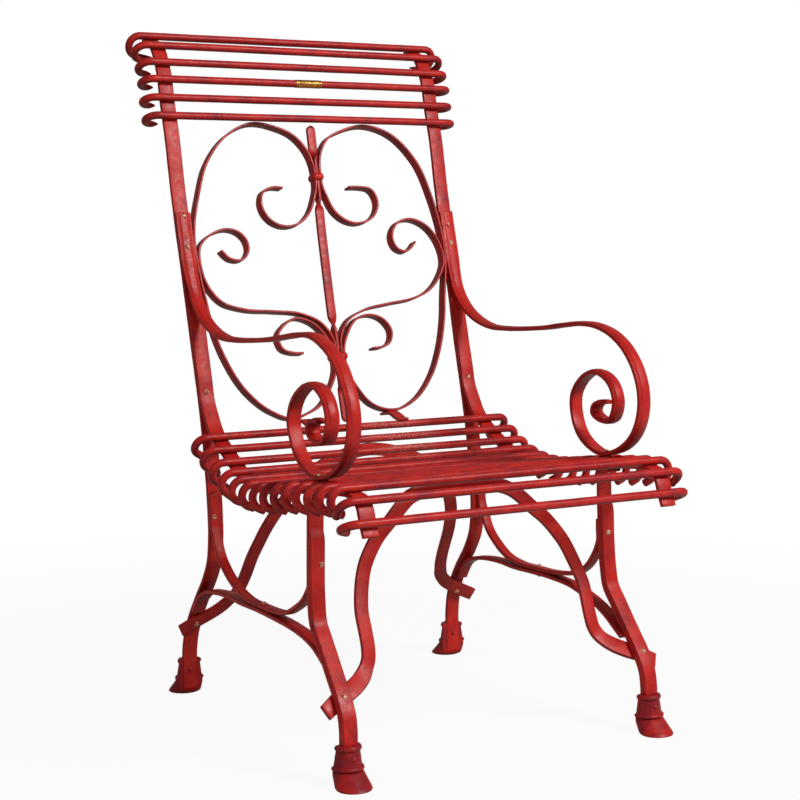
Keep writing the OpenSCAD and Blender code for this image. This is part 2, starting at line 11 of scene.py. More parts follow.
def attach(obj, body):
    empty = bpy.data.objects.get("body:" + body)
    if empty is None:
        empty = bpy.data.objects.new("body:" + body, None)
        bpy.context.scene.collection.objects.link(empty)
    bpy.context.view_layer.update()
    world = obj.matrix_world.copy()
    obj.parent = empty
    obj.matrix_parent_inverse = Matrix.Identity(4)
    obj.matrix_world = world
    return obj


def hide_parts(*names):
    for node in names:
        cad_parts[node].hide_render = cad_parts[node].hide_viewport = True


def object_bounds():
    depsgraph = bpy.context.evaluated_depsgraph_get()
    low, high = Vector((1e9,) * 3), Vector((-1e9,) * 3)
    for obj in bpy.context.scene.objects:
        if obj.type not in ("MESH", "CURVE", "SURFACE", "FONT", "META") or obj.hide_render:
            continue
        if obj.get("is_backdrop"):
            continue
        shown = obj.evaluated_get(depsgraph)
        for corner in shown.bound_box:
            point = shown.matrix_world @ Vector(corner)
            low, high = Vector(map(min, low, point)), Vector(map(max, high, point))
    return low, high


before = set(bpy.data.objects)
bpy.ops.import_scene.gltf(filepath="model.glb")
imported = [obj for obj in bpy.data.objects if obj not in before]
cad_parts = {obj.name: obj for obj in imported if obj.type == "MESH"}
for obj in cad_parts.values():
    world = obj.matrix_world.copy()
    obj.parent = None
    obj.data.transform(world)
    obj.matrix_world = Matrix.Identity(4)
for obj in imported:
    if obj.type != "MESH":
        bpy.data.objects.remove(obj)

bl_info = {
    "name": "Wrought Iron Garden Chair",
    "version": (1, 0, 0),
    "blender": (4, 5, 0),
    "location": "3D View > Sidebar > Garden Chair",
    "description": "Forges a red painted wrought iron armchair of flat bars and hooked rods",
    "category": "Add Mesh",
}

MM = 0.001
BOX_AT_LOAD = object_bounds()


# ---- settings
def number(label, description, default, unit="LENGTH"):
    return bpy.props.FloatProperty(name=label, description=description, default=default,
                                   unit=unit)


def hex_value(label, description, default):
    return bpy.props.StringProperty(name=label, description=description, default=default)


class ChairSizes(bpy.types.PropertyGroup):
    """Stock sizes of the chair's ironwork, in metres."""
    bar_w: number("Side bar width", "Width of the side frame bars", 0.024)
    bar_t: number("Side bar thickness", "Thickness of the side frame bars", 0.006)
    brace_w: number("U brace width", "Width of the U-shaped leg braces", 0.015)
    arch_w: number("Arch width", "Width of the low arches and the cross braces", 0.020)
    rod_d: number("Rod diameter", "Diameter of the seat and back rods", 0.012)
    strip_w: number("Scroll strip depth", "Depth of the scroll strips", 0.018)
    strip_t: number("Scroll strip thickness", "Thickness of the scroll strips", 0.0038)
    edge_r: number("Edge rounding", "Rounding of the bars' edges by rolling and paint", 0.0010)
    ripple: number("Forging ripple", "Height of the hammered ripples in the iron", 0.00012)


class PaintColours(bpy.types.PropertyGroup):
    """Colours of the old paint, of its painted shade and of the metal that shows, as sRGB hex
    values.
    """
    red: hex_value("Red", "Main colour of the gloss paint", "#BC1E1A")
    bright: hex_value("Bright red", "Fresher patches of paint", "#CE2A20")
    maroon: hex_value("Maroon", "Old, darkened paint", "#8A1822")
    # painted shade: the dark colour laid on the undersides and along the bars' rounded edges
    shade: hex_value("Shade", "Dark paint along rims and undersides", "#56100F")
    brown: hex_value("Brown", "Grime and rust bleeding through the paint", "#6E2C16")
    chalk: hex_value("Chalk", "Pale, worn through paint", "#D58A7C")
    iron: hex_value("Iron", "Rubbed bare iron on the rivet heads", "#D0B090")
    brass: hex_value("Brass", "Band on a back rod", "#C08A3C")


class StudioLight(bpy.types.PropertyGroup):
    """Lamps, floor and camera of the studio."""
    key: number("Key light", "Power of the large front lamp", 124.0, "POWER")
    fill: number("Fill light", "Power of the side lamp", 9.0, "POWER")
    sky: number("Sky", "Strength of the even light from all round", 0.22, "NONE")
    lens: number("Lens", "Focal length in millimetres on a 36 mm sensor", 82.5, "NONE")


# ---- shaping helpers
def linear(hex_colour):
    """An sRGB hex colour as the linear RGBA that shaders take."""
    out = []
    for i in (1, 3, 5):
        c = int(hex_colour[i:i + 2], 16) / 255
        out.append(c / 12.92 if c <= 0.04045 else ((c + 0.055) / 1.055) ** 2.4)
    return (*out, 1.0)


def flowing(knots, step):
    """A smooth line through 2D knots in millimetres, with a point about every step."""
    k = [Vector(q) for q in knots]
    gap = [(b - a).length for a, b in zip(k, k[1:])]

    def tangent(i):
        if i == 0:
            return (k[1] - k[0]) / gap[0]
        if i == len(k) - 1:
            return (k[i] - k[i - 1]) / gap[i - 1]
        a, b = gap[i - 1], gap[i]
        return ((k[i] - k[i - 1]) * b / a + (k[i + 1] - k[i]) * a / b) / (a + b)

    out = []
    for i, h in enumerate(gap):
        n = max(1, round(h / step))
        t0, t1 = tangent(i), tangent(i + 1)
        for j in range(n):
            t = j / n
            out.append(k[i] * (2 * t ** 3 - 3 * t * t + 1) + t0 * (h * (t ** 3 - 2 * t * t + t))
                       + k[i + 1] * (3 * t * t - 2 * t ** 3) + t1 * (h * (t ** 3 - t * t)))
    return out + [k[-1]]


class Line:
    """A 2D line in millimetres that answers by the length along it."""

    def __init__(self, points):
        self.p = [Vector(q) for q in points]
        self.s = [0.0]
        for a, b in zip(self.p, self.p[1:]):
            self.s.append(self.s[-1] + (b - a).length)
        self.length = self.s[-1]

    def at(self, s):
        s = min(max(s, 0.0), self.length)
        i = min(bisect_right(self.s, s), len(self.s) - 1) - 1
        d = self.s[i + 1] - self.s[i]
        return self.p[i].lerp(self.p[i + 1], (s - self.s[i]) / d if d else 0.0)

    def way(self, s):
        return (self.at(min(s + 1, self.length)) - self.at(max(s - 1, 0))).normalized()

    def normal(self, s):
        w = self.way(s)
        return Vector((-w.y, w.x))

    def off(self, s, d):
        return self.at(s) + d * self.normal(s)

    def where(self, axis, value):
        """Length at which the line first passes a value of its first or second coordinate."""
        for i in range(len(self.p) - 1):
            a, b = self.p[i][axis], self.p[i + 1][axis]
            if (a - value) * (b - value) <= 0 and a != b:
                return self.s[i] + (self.s[i + 1] - self.s[i]) * (value - a) / (b - a)
        return self.length

    def read(self, x):
        """Second coordinate where the first one is x, held just inside the line's ends."""
        return self.at(self.where(0, min(max(x, self.p[0].x + 1), self.p[-1].x - 1))).y

    def every(self, step):
        n = max(2, round(self.length / step))
        return [self.length * i / n for i in range(n + 1)]


# ---- the chair's own lines
# All in millimetres. Depths are drawn from a zero of their own, where the box's middle is Y_MID
Y_MID = 33.95
FRAME_W = 480.0         # between the middles of the two uprights' tops
GAP = 0.3               # play between bars that lie on each other
BAR_T = 6.0
ROD_R = 6.0
LAP = BAR_T + GAP       # from a bar's middle to that of the bar on it
SOLE = 6.0              # thickness of the feet under the legs' ends
FOOT_H = 56.0
FRONT_Y, REAR_Y = -278, 257
LEG_RISE = 6.0          # how much thicker the front legs are
BEND_R = 5.0            # of the front legs' flange
LEAN = radians(0.9)
SPLAY = radians(1.4)


def yz(*pairs):
    return [Vector((y - Y_MID, z)) for y, z in pairs]


# Ends of the upright's straight run, which carries the scroll panel
UA, UB = yz((199, 485), (320, 906))
BACK = (UB - UA).normalized()
BACK_L = (UB - UA).length
BACK_N = Vector((-BACK.y, BACK.x))
UPRIGHT = Line(flowing(
    yz((REAR_Y, SOLE), (REAR_Y, FOOT_H), (REAR_Y, FOOT_H + 6), (252.5, 95), (240.5, 125),
       (217.5, 161), (189, 197), (173, 225), (166.5, 262), (167.5, 300), (172, 340), (182, 400))
    + [UA.lerp(UB, t) - Vector((d, 0)) for t, d in
       ((0, -3.8), (0.15, -3.5), (0.3, -1.5), (0.45, 0), (0.6, 0.3), (0.75, 2), (0.85, 5),
        (0.93, 7), (1, 6.5))]
    + yz((322.5, 936), (328.5, 963), (340, 990), (357, 1014), (384, 1026.5), (391.5, 1029.5)), 4))


def by_z(line, *heights, d=0.0):
    """Points at d beside a line, where it reaches each height."""
    return [line.off(line.where(1, z), d) for z in heights]


RAIL = Line(flowing(
    yz((-330, 341), (-322.5, 356), (-311, 381), (-300, 389), (-286, 391), (-252, 388.5),
       (-222, 385.5), (-192, 382.5), (-157, 378.5), (-124, 373.5), (-90, 368.5), (-56, 364),
       (-20, 361.7), (17, 364), (50, 370), (84, 382), (114, 397), (144, 413), (164, 428.5),
       (177.5, 447)) + by_z(UPRIGHT, 470, 500, 535, 572, 612, d=LAP), 4))
ROD_OFF = BAR_T / 2 + GAP + ROD_R
S_LOW, S_UP, S_14 = 17.0, 45.0, 72.5
S_1 = RAIL.where(0, 144.5 - Y_MID)


def seat_s(i):
    return S_14 + (14 - i) * (S_1 - S_14) / 13


S_6 = UPRIGHT.where(1, 906)


def back_s(i):
    """Length along the upright of back rod i, from the six spacings listed."""
    return S_6 + (142.3, 112.9, 83.5, 56.6, 27.3, -2.4)[i - 1]


S_11 = seat_s(11)
FLANGE = RAIL.off(S_11, -LAP)
FLANGE_WAY = RAIL.way(S_11)
LEG_Y = FLANGE.x + 9


def front_leg_lines():
    """The front leg's line without and with the flange bent forward at its top."""
    low = flowing(
        yz((FRONT_Y, SOLE), (FRONT_Y, FOOT_H), (FRONT_Y, FOOT_H + 6), (-273, 91), (-259.5, 113),
           (-242, 134), (-223, 156.5), (-206, 177))
        + [Vector((LEG_Y - d, z)) for d, z in ((12, 200), (5, 231), (2, 265), (1, 300), (0, 340))],
        4)
    turn_at = FLANGE + FLANGE_WAY * (LEG_Y - FLANGE.x) / FLANGE_WAY.x
    u, v = Vector((0, 1)), (FLANGE - turn_at).normalized()
    turn = u.angle(v)
    start = turn_at - u * BEND_R * tan(turn / 2)
    bend = [start + u * BEND_R * sin(turn * i / 12)
            + Vector((-1, 0)) * BEND_R * (1 - cos(turn * i / 12)) for i in range(13)]
    return Line(low), Line(low + bend + [FLANGE - FLANGE_WAY * 17])


LEG_LOW, LEG = front_leg_lines()


def arm_line(over, scroll):
    """An arm's line, shifted in front so that its fall ends on seat rod 11."""
    fall = [(-266.5, 433.5), (-239.5, 413.5), (-215, 404.5), (-193, 401)]
    shift = RAIL.off(S_11, BAR_T + 2 * GAP + 2 * ROD_R) - yz(fall[-1])[0]
    return Line(flowing(
        by_z(UPRIGHT, 755, 735, 710, 680, 655, d=LAP)
        + yz((231, 630), (216, 611), (194, 594), (161, 579.5), (119.5, 571), (75, 570.5), (27, 573),
             (-30, 578)) + [q + shift for q in yz(*over, *fall, *scroll)], 3.5))


# The two sides were bent by hand, so each has its own arm, arch and brace
ARM = {
    -1: arm_line([
        (-85.5, 585), (-133, 591), (-177.5, 591.5), (-217, 578.5), (-247.5, 558.5), (-268, 533),
        (-281, 507), (-285, 482), (-280, 456)], [
        (-161, 407.5), (-134.5, 422.5), (-117.5, 446), (-110, 468), (-113.5, 485.5), (-124, 501.5),
        (-141.5, 515), (-166.5, 525.5), (-194.5, 521.5), (-216, 505), (-224.5, 478), (-213.5, 455),
        (-182.5, 451.5), (-167.5, 460), (-167, 468), (-178.5, 477), (-197, 477.5)]),
    1: arm_line([
        (-85.5, 585), (-133, 590), (-177, 589), (-216.5, 578), (-248, 558.5), (-270, 534),
        (-282.5, 507.5), (-286, 482), (-280.5, 456)], [
        (-161.5, 409), (-137, 425), (-123, 448.5), (-119, 468), (-120.5, 482.5), (-129, 496.5),
        (-144, 510), (-167, 520.5), (-193, 518), (-215, 504), (-225.5, 478), (-214.5, 453.5),
        (-183, 453), (-171, 461.5), (-171.5, 466.5), (-179.5, 474.5), (-197, 477.5)]),
}


def arch_line(rear, knots):
    return Line(flowing(by_z(UPRIGHT, *rear, d=LAP) + yz(*knots)
                        + yz((-178, 166), (-203, 153), (-217, 144))
                        + by_z(LEG_LOW, 137, d=-LAP), 4))


ARCH = {
    -1: arch_line((139, 149), [(201, 166), (181, 176), (148, 182), (100, 185), (50, 183.5),
                               (0, 184), (-55, 182.5), (-104, 180), (-144.5, 175)]),
    1: arch_line((145, 155), [(202, 170), (182, 180), (148, 187), (100, 190.5), (50, 188.5),
                              (0, 189.7), (-55, 190), (-105, 186.5), (-145, 177)]),
}
ARCH_S = {side: line.where(0, -10 - Y_MID) for side, line in ARCH.items()}


def u_brace_line(side, rear, front):
    return Line(flowing(
        by_z(UPRIGHT, 330, 305, 280, d=LAP)
        + yz((149, 260), (135, 237.5), (109.5, 217.5), (79.5, 202.5), (40, rear))
        + [ARCH[side].off(ARCH_S[side], -LAP)]
        + yz((-45, front), (-87, front + 5), (-118, 209), (-140, 222), (-158, 241), (-167, 256))
        + by_z(LEG_LOW, 268, 284, 300, d=-LAP), 4))


U_BRACE = {-1: u_brace_line(-1, 192, 190.5), 1: u_brace_line(1, 196, 197)}


# By height, how far the uprights' middles stand out from half the frame's width
BOW = Line(flowing(
    [(0, 4.6), (34, 4.07), (68, 3.53), (105, 1.6), (135, -0.9), (165, -2.6), (200, -3.1),
     (262, -3.2), (400, -3.6), (485, -3.8), (530, -3.4), (570, -3), (611, -2.4), (700, -1.2),
     (800, -0.5), (876, 0), (1040, 0)], 10))


def upright_x(z):
    """Half width between the uprights' middles at a height: they bow in round the seat."""
    return FRAME_W / 2 + BOW.read(z)


RAIL_X = FRAME_W / 2 + 2.2
REAR_X = upright_x(500)
ARM_X = upright_x(700)


def rail_bar_x(y):
    """Half width of the seat rails at a depth: they close in to the uprights at the back."""
    return RAIL_X + (REAR_X - RAIL_X) * ramp(y + Y_MID, -60, 120)


def leg_x(z):
    """Half width of the splayed front legs at a height."""
    return RAIL_X + (FLANGE.y - z) * tan(SPLAY)


BRACE_X = (upright_x(240) + leg_x(240)) / 2


# ---- mesh helpers
def new_object(name, data):
    ob = bpy.data.objects.new(name, data)
    bpy.context.scene.collection.objects.link(ob)
    return ob


def keep(node, finish, bm, mat):
    """Turns a bmesh into the piece that stands for a node and rides on the chair's body."""
    bmesh.ops.recalc_face_normals(bm, faces=bm.faces)
    name = f"{node}_{finish}"
    me = bpy.data.meshes.new(name)
    bm.to_mesh(me)
    bm.free()
    ob = new_object(name, me)
    me.materials.append(mat)
    me.shade_smooth()
    me.set_sharp_from_angle(angle=radians(38))
    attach(ob, "root")
    SLOTS.get(mat.name.split("_")[0], "red_paint")
    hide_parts(node)


def rounded(corners):
    """Four points round each corner (x, y, radius, first and last angle) of a section."""
    out = []
    for cx, cy, r, a0, a1 in corners:
        for i in range(4):
            q = radians(a0 + (a1 - a0) * i / 3)
            out.append((cx + r * cos(q), cy + r * sin(q)))
    return out


def rounded_bar(w, t, r):
    """Section of a flat bar with rounded edges, as points (across, through)."""
    x, y = w / 2 - r, t / 2 - r
    return rounded(((x, y, r, 0, 90), (-x, y, r, 90, 180), (-x, -y, r, 180, 270),
                    (x, -y, r, 270, 360)))


def crowned_bar(w, t, r, rise, bevel):
    """Section of a bar whose outer face is forged up by rise, with bevelled shoulders."""
    x, y = w / 2 - r, t / 2 - r
    rt = max(0.15, min(r, rise * 0.4))
    xt, yt = w / 2 - bevel, t / 2 + rise - rt
    return rounded(((x, y, r, 0, 40), (xt, yt, rt, 45, 90), (-xt, yt, rt, 90, 135),
                    (-x, y, r, 140, 180), (-x, -y, r, 180, 270), (x, -y, r, 270, 360)))


BAR_POINTS = (16, 24)   # in the sections of rounded_bar and crowned_bar


def drawn_in(w, t, r, inset):
    """Width, thickness and edge radius of a section that is drawn in near a bar's end."""
    return w - 2 * inset, t - 2 * inset, max(r - inset * 0.6, r * 0.4)


def worn_ends(r):
    return [(0, r * 0.9), (r * 0.35, r * 0.35), (r, 0.0)]


def stations(length, inner, ends):
    """Stations along a bar as (length, inset), with the same ends at both of its ends."""
    return (ends + [(s, 0.0) for s in inner]
            + [(length - s, inset) for s, inset in reversed(ends)])


def sign(v):
    return 1 if v > 0 else -1


def sweep(bm, rings):
    """Joins rings of 3D points in metres into a closed skin.

    The points on a bar's rounded edges are marked, so that painted shade can darken the colour
    there."""
    mark = bm.verts.layers.float.get("rim") or bm.verts.layers.float.new("rim")
    vs = [[bm.verts.new(q) for q in ring] for ring in rings]
    n = len(vs[0])
    for ring in vs:
        for i, v in enumerate(ring):
            v[mark] = float(n in BAR_POINTS and i % 4 in (1, 2))
    for a, b in zip(vs, vs[1:]):
        for i in range(n):
            bm.faces.new((a[i], a[(i + 1) % n], b[(i + 1) % n], b[i]))
    bm.faces.new(vs[0])
    bm.faces.new(list(reversed(vs[-1])))


def keep_swept(node, finish, mat, *skins):
    """Makes a piece of one or more closed skins, each given as its rings of points."""
    bm = bmesh.new()
    for rings in skins:
        sweep(bm, rings)
    keep(node, finish, bm, mat)


def ripple(p, seed, height):
    """Slow unevenness of forged iron at a point in metres."""
    q = Vector(p) * 45 + Vector((seed, seed * 0.37, -seed))
    return height * (noise.noise(q) + 0.5 * noise.noise(q * 2.7))


def ramp(x, low, high):
    """Rises smoothly from 0 at low to 1 at high."""
    t = min(max((x - low) / (high - low), 0.0), 1.0)
    return t * t * (3 - 2 * t)


# A place takes a point of a bar's line and a distance across the bar, and gives 3D metres
def bowed_place(x_of, side):
    """A place whose half width follows x_of."""
    return lambda q, u: Vector((side * (x_of(q) + u) * MM, q.x * MM, q.y * MM))


def plain_place(x, side):
    return bowed_place(lambda q: x, side)


ARM_DRAWN = 0.86        # the arms' width below the rivets, as a share of the bar's
LEFT_ARM_LEAN = 3.0


def arm_place(side):
    """A place for the arms: drawn down narrower below the rivets, the left one leaning in."""
    def place(q, u):
        full = ramp(q.y, 630, 690)
        lean = LEFT_ARM_LEAN * (1 - full) if side < 0 else 0.0
        width = ARM_DRAWN + (1 - ARM_DRAWN) * full
        return Vector((side * (ARM_X - lean + u * width) * MM, q.x * MM, q.y * MM))
    return place


def leg_place(side):
    """A place for the front legs, which splay out below the seat rails."""
    ca, sa = cos(SPLAY), sin(SPLAY)

    def place(q, u):
        dz = q.y - FLANGE.y
        return Vector((side * (RAIL_X + u * ca - dz * sa) * MM, q.x * MM,
                       (FLANGE.y + u * sa + dz * ca) * MM))
    return place


def circle(n):
    return [(cos(2 * pi * k / n), sin(2 * pi * k / n)) for k in range(n)]


def tube(points, radii, sides=18, seed=0.0, height=0.0):
    """Rings of a round bar along 3D points in millimetres, with its own radius at each."""
    pts = [Vector(p) for p in points]
    ways = [(b - a).normalized() for a, b in zip(pts[:1] + pts, pts[1:] + pts[-1:])]
    ref = Vector((0, 1, 0)) if abs(ways[0].y) < 0.9 else Vector((0, 0, 1))
    u = (ref - ways[0] * ref.dot(ways[0])).normalized()
    rings = []
    for p, way, r in zip(pts, ways, radii):
        u = (u - way * u.dot(way)).normalized()
        v = way.cross(u)
        ring = []
        for ca, sa in circle(sides):
            d = u * ca + v * sa
            q = (p + d * r) * MM
            ring.append(q + d * ripple(q, seed, height))
        rings.append(ring)
    return rings


# ---- materials
def add(tree, kind, links=(), **settings):
    """Adds a shader node: settings by attribute or socket name, links as (socket, source).

    A source may also be a tuple, which the socket then takes as its value."""
    nd = tree.nodes.new(kind)
    for key, value in settings.items():
        if hasattr(nd, key):
            setattr(nd, key, value)
        else:
            nd.inputs[key.replace("_", " ")].default_value = value
    for socket, source in links:
        if isinstance(source, tuple):
            nd.inputs[socket].default_value = source
        else:
            tree.links.new(source, nd.inputs[socket])
    return nd


def material(name, build):
    """The material of a name; build(tree, colours) fills it when it is first asked for."""
    mat = bpy.data.materials.get(name)
    if mat is None:
        mat = bpy.data.materials.new(name)
        mat.use_nodes = True
        mat.node_tree.nodes.clear()
        build(mat.node_tree, bpy.context.scene.paint_colours)
    return mat


def cloud(t, scale, detail=4.0, rough=0.6):
    """Cloudy noise that is fixed to the piece."""
    place = t.nodes.get("Texture Coordinate") or add(t, "ShaderNodeTexCoord")
    return add(t, "ShaderNodeTexNoise", [("Vector", place.outputs["Object"])], Scale=scale,
               Detail=detail, Roughness=rough).outputs["Fac"]


def mask(t, source, low, high, **to):
    return add(t, "ShaderNodeMapRange", [("Value", source)], interpolation_type="SMOOTHSTEP",
               From_Min=low, From_Max=high, **to).outputs["Result"]


def blend(t, amount, a, b):
    """Colour a where amount is 0, and b where it is 1."""
    return add(t, "ShaderNodeMix", [(0, amount), (6, a), (7, b)], data_type="RGBA").outputs[2]


def surface(t, links, **settings):
    shader = add(t, "ShaderNodeBsdfPrincipled", links, **settings)
    add(t, "ShaderNodeOutputMaterial", [("Surface", shader.outputs["BSDF"])])


# Slot by the first word of a material's name, where it isn't red paint
SLOTS = {"rubbed": "worn_iron", "dull": "brass"}
# How the paint aged on each kind of iron: where the maroon starts and ends in its clouds
WORN = {"flat_bar": (0.50, 0.80), "round_rod": (0.36, 0.78), "thin_strip": (0.40, 0.76),
        "cast_foot": (0.26, 0.62), "rivet_head": (0.30, 0.60)}
# About this point, the rear seat rods are rubbed through in pale specks
RUBBED_SPOT = (0.055, 0.072, 0.408)


def old_gloss_paint(kind="flat_bar"):
    """Brushed oil gloss over wrought iron: soft highlights, mottled fading, grime in patches, and
    painted shade on the undersides and rounded edges.
    """
    def build(t, c):
        # clouds of fading and of old paint, smaller patches of grime, and flecks
        coat = linear(c.red)
        for colour, scale, detail, rough, low, high in (
                (c.bright, 38.0, 4.0, 0.6, 0.35, 0.68), (c.maroon, 27.0, 5.0, 0.6, *WORN[kind]),
                (c.brown, 95.0, 6.0, 0.7, 0.56, 0.78), (c.chalk, 420.0, 3.0, 0.6, 0.70, 0.80)):
            patches = mask(t, cloud(t, scale, detail, rough), low, high)
            coat = blend(t, patches, coat, linear(colour))
        if kind == "round_rod":
            place = t.nodes["Texture Coordinate"].outputs["Object"]
            off = add(t, "ShaderNodeVectorMath", [(0, place), (1, RUBBED_SPOT)],
                      operation="DISTANCE")
            near = mask(t, off.outputs["Value"], 0.085, 0.035)
            fine = mask(t, cloud(t, 560.0, 3.0), 0.52, 0.60)
            specks = add(t, "ShaderNodeMath", [(0, near), (1, fine)], operation="MULTIPLY")
            coat = blend(t, specks.outputs[0], coat, linear(c.chalk))
        # painted shade: the colour darkens towards the undersides and along the bars' rounded
        # edges, where shade falls
        normal = add(t, "ShaderNodeNewGeometry").outputs["Normal"]
        up = add(t, "ShaderNodeSeparateXYZ", [(0, normal)]).outputs["Z"]
        rim = add(t, "ShaderNodeAttribute", attribute_name="rim").outputs["Fac"]
        for dark in (mask(t, up, -0.05, -0.85, To_Max=0.75), mask(t, rim, 0.1, 1.1)):
            coat = blend(t, dark, coat, linear(c.shade))
        rough = add(t, "ShaderNodeMapRange", [("Value", cloud(t, 110.0))], From_Min=0.3,
                    From_Max=0.7, To_Min=0.30, To_Max=0.50).outputs["Result"]
        hammer = add(t, "ShaderNodeBump", [("Height", cloud(t, 150.0, 5.0))], Strength=0.35,
                     Distance=0.0006).outputs["Normal"]
        brush = add(t, "ShaderNodeBump", [("Height", cloud(t, 900.0, 2.0)), ("Normal", hammer)],
                    Strength=0.12, Distance=0.0003).outputs["Normal"]
        surface(t, [("Base Color", coat), ("Roughness", rough), ("Normal", brush)], IOR=1.5,
                Specular_IOR_Level=0.24)
    return material("brushed_gloss_paint_on_" + kind, build)


def rubbed_iron():
    """Hammered rivet iron whose paint has rubbed off the crown, dull grey brown."""
    def build(t, c):
        spots = cloud(t, 260.0, rough=0.5)
        colour = blend(t, mask(t, spots, 0.42, 0.56), linear(c.red), linear(c.iron))
        bump = add(t, "ShaderNodeBump", [("Height", spots)], Strength=0.3,
                   Distance=0.0004).outputs["Normal"]
        surface(t, [("Base Color", colour), ("Normal", bump)], Metallic=0.25, Roughness=0.42)
    return material("rubbed_rivet_iron", build)


def dull_brass():
    """Thin rolled brass, dulled outdoors, with darker stains."""
    def build(t, c):
        stain = mask(t, cloud(t, 330.0, 5.0, 0.5), 0.45, 0.62)
        surface(t, [("Base Color", blend(t, stain, linear(c.brass), linear(c.brown)))],
                Metallic=0.8, Roughness=0.35)
    return material("dull_rolled_brass", build)


# ---- pieces
SIDES = ((-1, "left"), (1, "right"))


def stock(key, unit=1000):
    """One of the chair's sizes, in millimetres unless unit says otherwise."""
    return getattr(bpy.context.scene.chair_sizes, key) * unit


# A crown gives the rise and bevel of a bar's outer face at a length, and that face's side
def leg_crown(s):
    """The front legs stand twice as thick as the other bars, but for the flange at the top."""
    return LEG_RISE * (1 - ramp(LEG.at(s).y, 312, 336)), 2.0, 1


ARM_RISE, ARM_BEVEL = 1.3, 7.0


def arm_crown(line):
    """The arms' outer faces have soft shoulders, but not at the rivets and near the seat."""
    lowest = line.where(1, 404) + 20

    def crown(s):
        clear = ramp(s, 60, 110) * ramp(abs(s - lowest), 22, 50)
        return ARM_RISE * clear, ARM_BEVEL, -1
    return crown


def rippled(line, place, stops, section, seed, faces, edges):
    """Rings of a hammered bar that follows a line, with section(s, inset) at each stop.

    faces and edges are how much of the ripple each gets, in thousandths."""
    height = stock("ripple", 1)
    rings = []
    for s, inset in stops:
        c, n = line.at(s), line.normal(s)
        ring = []
        for u, v in section(s, inset):
            lift = ripple(place(c + n * v, u), seed, height)
            ring.append(place(c + n * (v + lift * faces * sign(v)), u + lift * edges * sign(u)))
        rings.append(ring)
    return rings


def flat_bar(node, line, place, w, t, seed, step=4.0, crown=None):
    """A flat bar with rounded edges and, where crown is given, a crowned face."""
    r = stock("edge_r")
    if min(w, t) <= 2.2 * r:
        raise ValueError(f"the edge rounding is too wide for {node}")

    def section(s, inset):
        size = drawn_in(w, t, r, inset)
        if not crown:
            return rounded_bar(*size)
        rise, bevel, outer = crown(s)
        return [(u, v * outer) for u, v in crowned_bar(*size, rise, bevel)]

    inner = [s for s in line.every(step) if r < s < line.length - r]
    stops = stations(line.length, inner, worn_ends(r))
    rings = rippled(line, place, stops, section, seed, 1000, 1400)
    keep_swept(node, "forged", old_gloss_paint(), rings)


class CHAIR_OT_side_frames(bpy.types.Operator):
    """Forge the uprights, seat rails, arms and front legs from flat bar."""
    bl_idname = "chair.side_frames"
    bl_label = "Side frames"

    def execute(self, context):
        w, t = stock("bar_w"), stock("bar_t")
        for s, side in SIDES:
            for name, line, place, seed, *more in (
                    ("upright_", UPRIGHT, bowed_place(lambda q: upright_x(q.y), s), 3),
                    ("seat_rail_", RAIL, bowed_place(lambda q: rail_bar_x(q.x), s), 7),
                    ("arm_", ARM[s], arm_place(s), 11, 3.5, arm_crown(ARM[s])),
                    ("front_leg_", LEG, leg_place(s), 15, 3.0, leg_crown)):
                flat_bar(name + side, line, place, w, t, seed + s, *more)
        return {"FINISHED"}


class CHAIR_OT_side_braces(bpy.types.Operator):
    """Forge the U-shaped braces and the low arches between the legs."""
    bl_idname = "chair.side_braces"
    bl_label = "Side braces"

    def execute(self, context):
        for s, side in SIDES:
            place = plain_place(BRACE_X, s)
            flat_bar("u_brace_" + side, U_BRACE[s], place, stock("brace_w"), BAR_T, 19 + s)
            flat_bar("leg_arch_" + side, ARCH[s], place, stock("arch_w"), BAR_T, 23 + s)
        return {"FINISHED"}


DRAWN_FOOT_X = 246      # the cross braces' half width at their rivets, as drawn


def cross_brace(node, line, d, knots, rod, half, foot_x, seed, drift=0.0):
    """An arch seen from the front, as one band bent to a side profile.

    The profile runs at d beside line, through knots and up under a seat rod. half is one half
    of the arch from the tip up, and foot_x where its rivet goes. The right leg stands drift
    further out than the left one, whose tab is that much shorter."""
    top = RAIL.off(seat_s(rod), ROD_OFF) - Vector((0, ROD_R + GAP))
    side_line = Line(flowing(by_z(line, 88, 103, 118, 131, 142, d=d) + yz(*knots)
                             + [top, top + Vector((0, 8))], 4))
    apex = top.y - 10
    arch = [(x * foot_x / DRAWN_FOOT_X, h) for x, h in half]
    arch = arch + [(0, apex)] + [(-x, h) for x, h in reversed(arch)]
    arch = [(x + (drift * min(max((apex - h) / 30, 0), 1) if x > 0 else 0), h) for x, h in arch]
    arch[-1] = (arch[-1][0] + drift, arch[-1][1])
    arch = Line(flowing(arch, 5))
    table = sorted((q.y, s) for q, s in zip(side_line.p, side_line.s))
    (low, low_s), (high, high_s) = table[0], table[-1]

    def station(h):
        """Length along the side profile at a height, running on straight past its ends."""
        if h <= low:
            return low_s + (h - low)
        for (h0, s0), (h1, s1) in zip(table, table[1:]):
            if h <= h1:
                return s0 + (s1 - s0) * (h - h0) / max(h1 - h0, 1e-6)
        return high_s + (h - high)

    def place(q, v):
        k = station(q.y)
        base, nrm = side_line.at(k), side_line.normal(k)
        extra = k - side_line.length if k > side_line.length else min(k, 0.0)
        base = base + side_line.way(k) * extra
        return Vector((q.x, base.x + nrm.x * v, base.y + nrm.y * v)) * MM

    def section(_, inset):
        return [(v, u) for u, v in rounded_bar(*drawn_in(stock("arch_w"), BAR_T, r, inset))]

    r = stock("edge_r")
    stops = stations(arch.length, arch.every(5)[1:-1], worn_ends(r))
    rings = rippled(arch, place, stops, section, seed, 0, 1000)
    keep_swept(node, "forged", old_gloss_paint(), rings)


